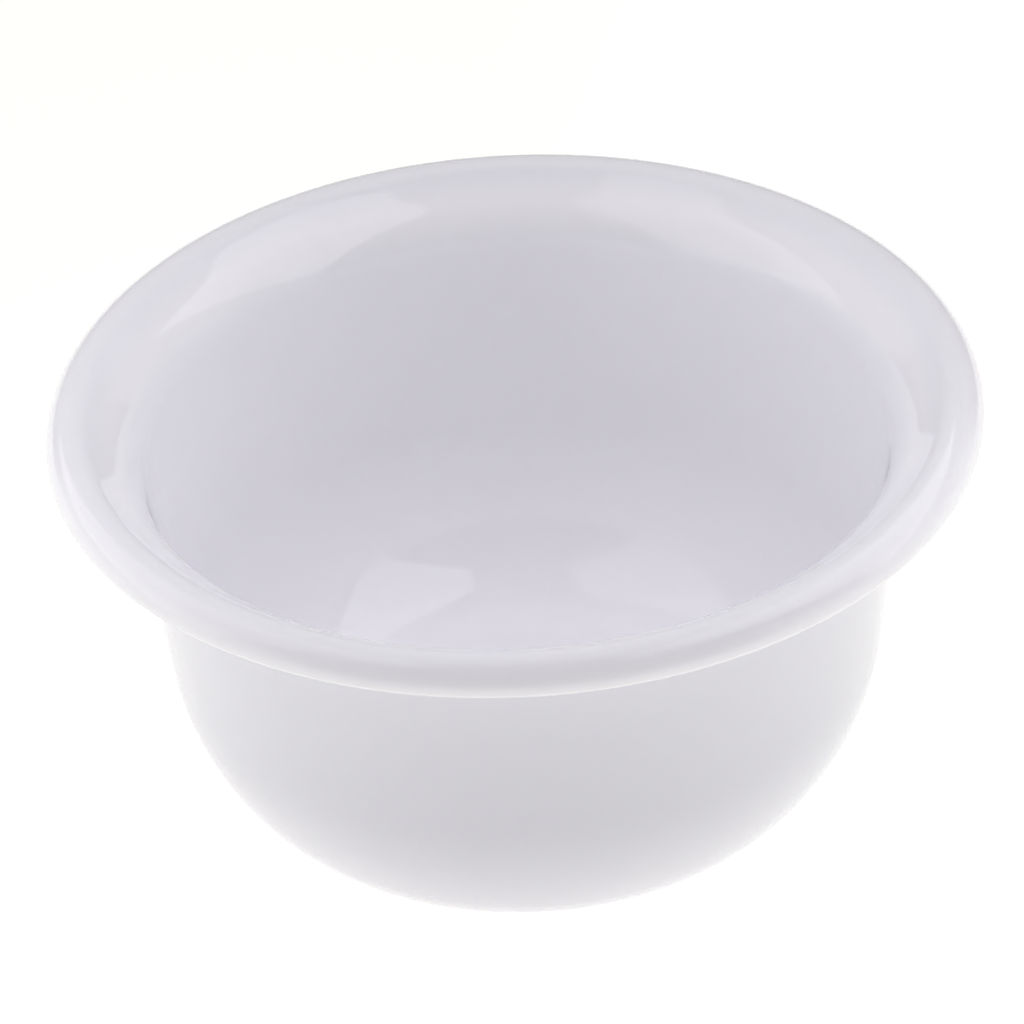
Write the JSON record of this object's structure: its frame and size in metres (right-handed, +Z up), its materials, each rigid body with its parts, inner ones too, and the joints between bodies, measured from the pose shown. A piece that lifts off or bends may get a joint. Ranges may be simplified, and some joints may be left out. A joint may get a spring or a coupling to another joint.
{
  "type": "shaving bowl",
  "caption": "Round plastic shaving bowl with a deep smooth inside, a sloping flange with a thick rounded lip, and a low foot ring.",
  "frame": {"origin": "middle of the foot ring's face, where the bowl stands", "axes": "+Z up along the bowl's axis of revolution, out of the open mouth; X and Y are free"},
  "size_m": [0.115, 0.115, 0.06],
  "materials": {
    "opal_plastic": "polished opal white"
  },
  "bodies": {
    "root": {"bowl": "opal_plastic"}
  },
  "joints": []
}
